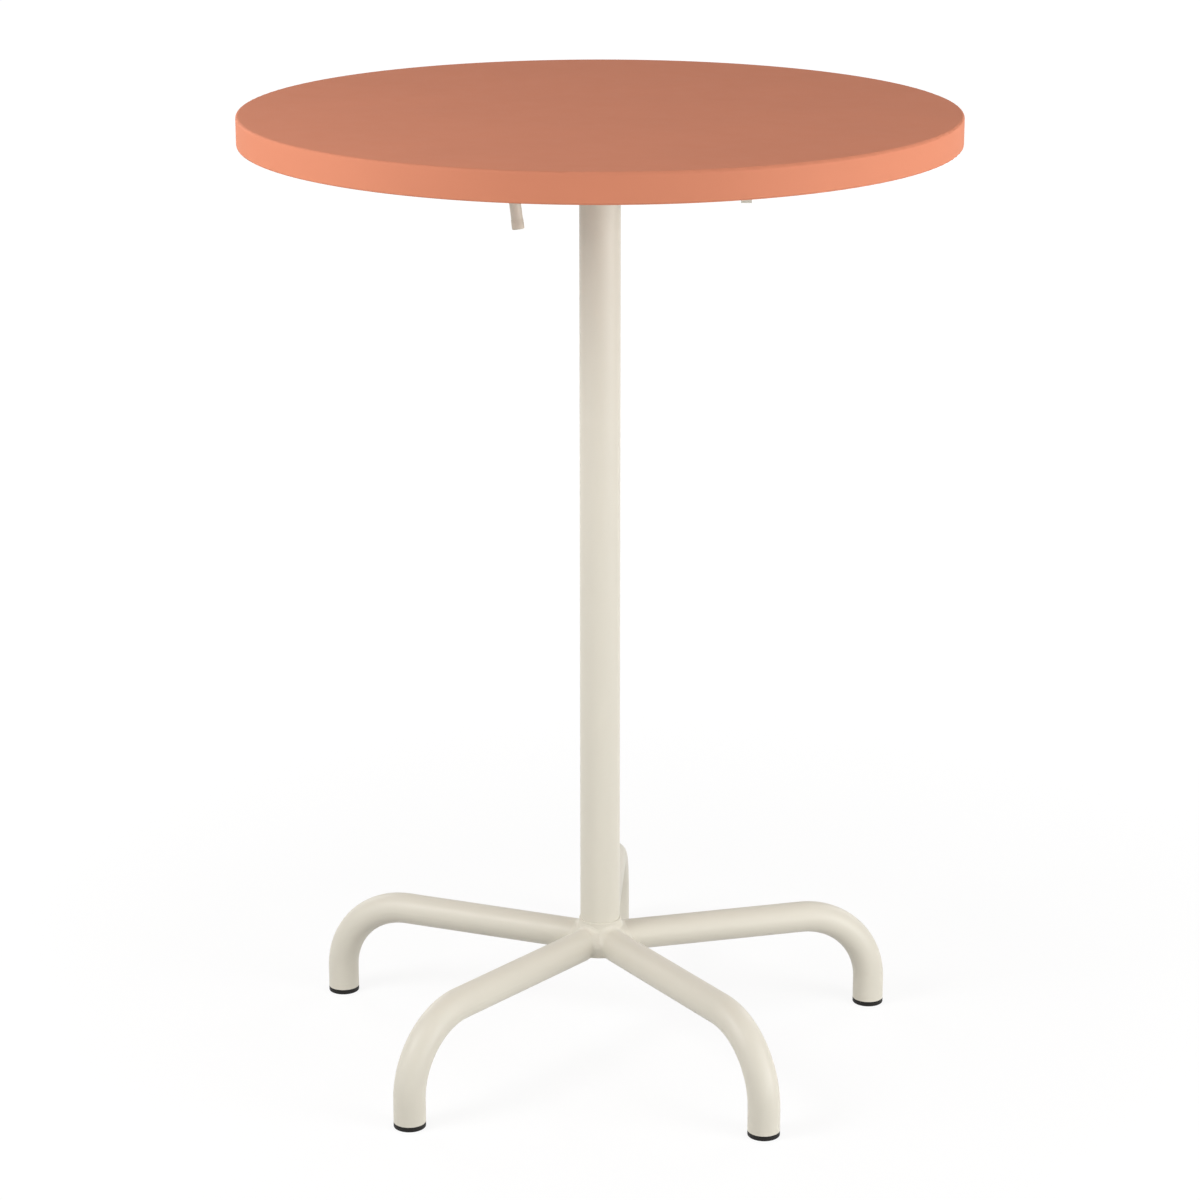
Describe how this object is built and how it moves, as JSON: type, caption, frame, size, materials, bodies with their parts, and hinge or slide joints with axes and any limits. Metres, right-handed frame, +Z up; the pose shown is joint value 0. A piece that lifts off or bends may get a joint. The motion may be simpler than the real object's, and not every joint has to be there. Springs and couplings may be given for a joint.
{
  "type": "folding bar table",
  "caption": "Round tilt-top bar table: pressed pan top on a slim column with bent tube legs, hinged behind the column and held level by a latch with a hanging release lever.",
  "frame": {"origin": "on the floor under the column axis", "axes": "+Z up along the column, +X to the right and +Y to the back, with the hinge behind the column and the lever at the left"},
  "size_m": [0.8, 0.8, 1.1017],
  "materials": {
    "top_coat": "satin powder coat",
    "frame_coat": "satin powder coat",
    "glide_plastic": "matte",
    "cap_plastic": "satin",
    "zinc_steel": "zinc plated",
    "spring_steel": "oiled",
    "black_rubber": "matte",
    "bush_nylon": "matte"
  },
  "bodies": {
    "stand": {"column_bolt": "zinc_steel", "column_insert": "zinc_steel", "column_tube": "frame_coat", "column_washer": "zinc_steel", "cross_tube": "frame_coat", "glide_back": "glide_plastic", "glide_front_left": "glide_plastic", "glide_front_right": "glide_plastic", "glide_left": "glide_plastic", "glide_right": "glide_plastic", "gusset_left": "frame_coat", "gusset_right": "frame_coat", "head_plate": "frame_coat", "hub_base_disc": "frame_coat", "hub_sleeve": "frame_coat", "leg_back": "frame_coat", "leg_front_left": "frame_coat", "leg_front_right": "frame_coat", "leg_left": "frame_coat", "leg_right": "frame_coat", "pivot_bolt_left": "zinc_steel", "pivot_bolt_right": "zinc_steel", "pivot_plug_left": "zinc_steel", "pivot_plug_right": "zinc_steel", "rest_pads": "black_rubber"},
    "top": {"tabletop": "top_coat", "rail_left": "frame_coat", "rail_right": "frame_coat", "front_bar": "frame_coat", "rear_bar": "frame_coat", "hinge_ear_left": "frame_coat", "hinge_ear_right": "frame_coat", "pivot_bush_left": "bush_nylon", "pivot_bush_right": "bush_nylon", "top_studs": "zinc_steel", "stud_nuts": "zinc_steel", "fold_arm": "frame_coat", "fold_buffer": "black_rubber", "latch_lug_left": "frame_coat", "latch_lug_right": "frame_coat", "latch_spring": "spring_steel"},
    "latch": {"lever_rod": "frame_coat", "lever_cap": "cap_plastic", "latch_hook": "frame_coat", "rod_collars": "zinc_steel"}
  },
  "joints": [
    {"name": "top_tilt", "type": "hinge", "parent": "stand", "child": "top", "pos_m": [0, 0.04, 1.0087], "axis": [-1, 0, 0], "range_deg": [0, 90]},
    {"name": "latch_lever", "type": "hinge", "parent": "top", "child": "latch", "pos_m": [0, -0.062, 1.0857], "axis": [1, 0, 0], "range_deg": [0, 22], "stiffness_Nm_per_rad": 0.4, "springref_deg": 35}
  ]
}
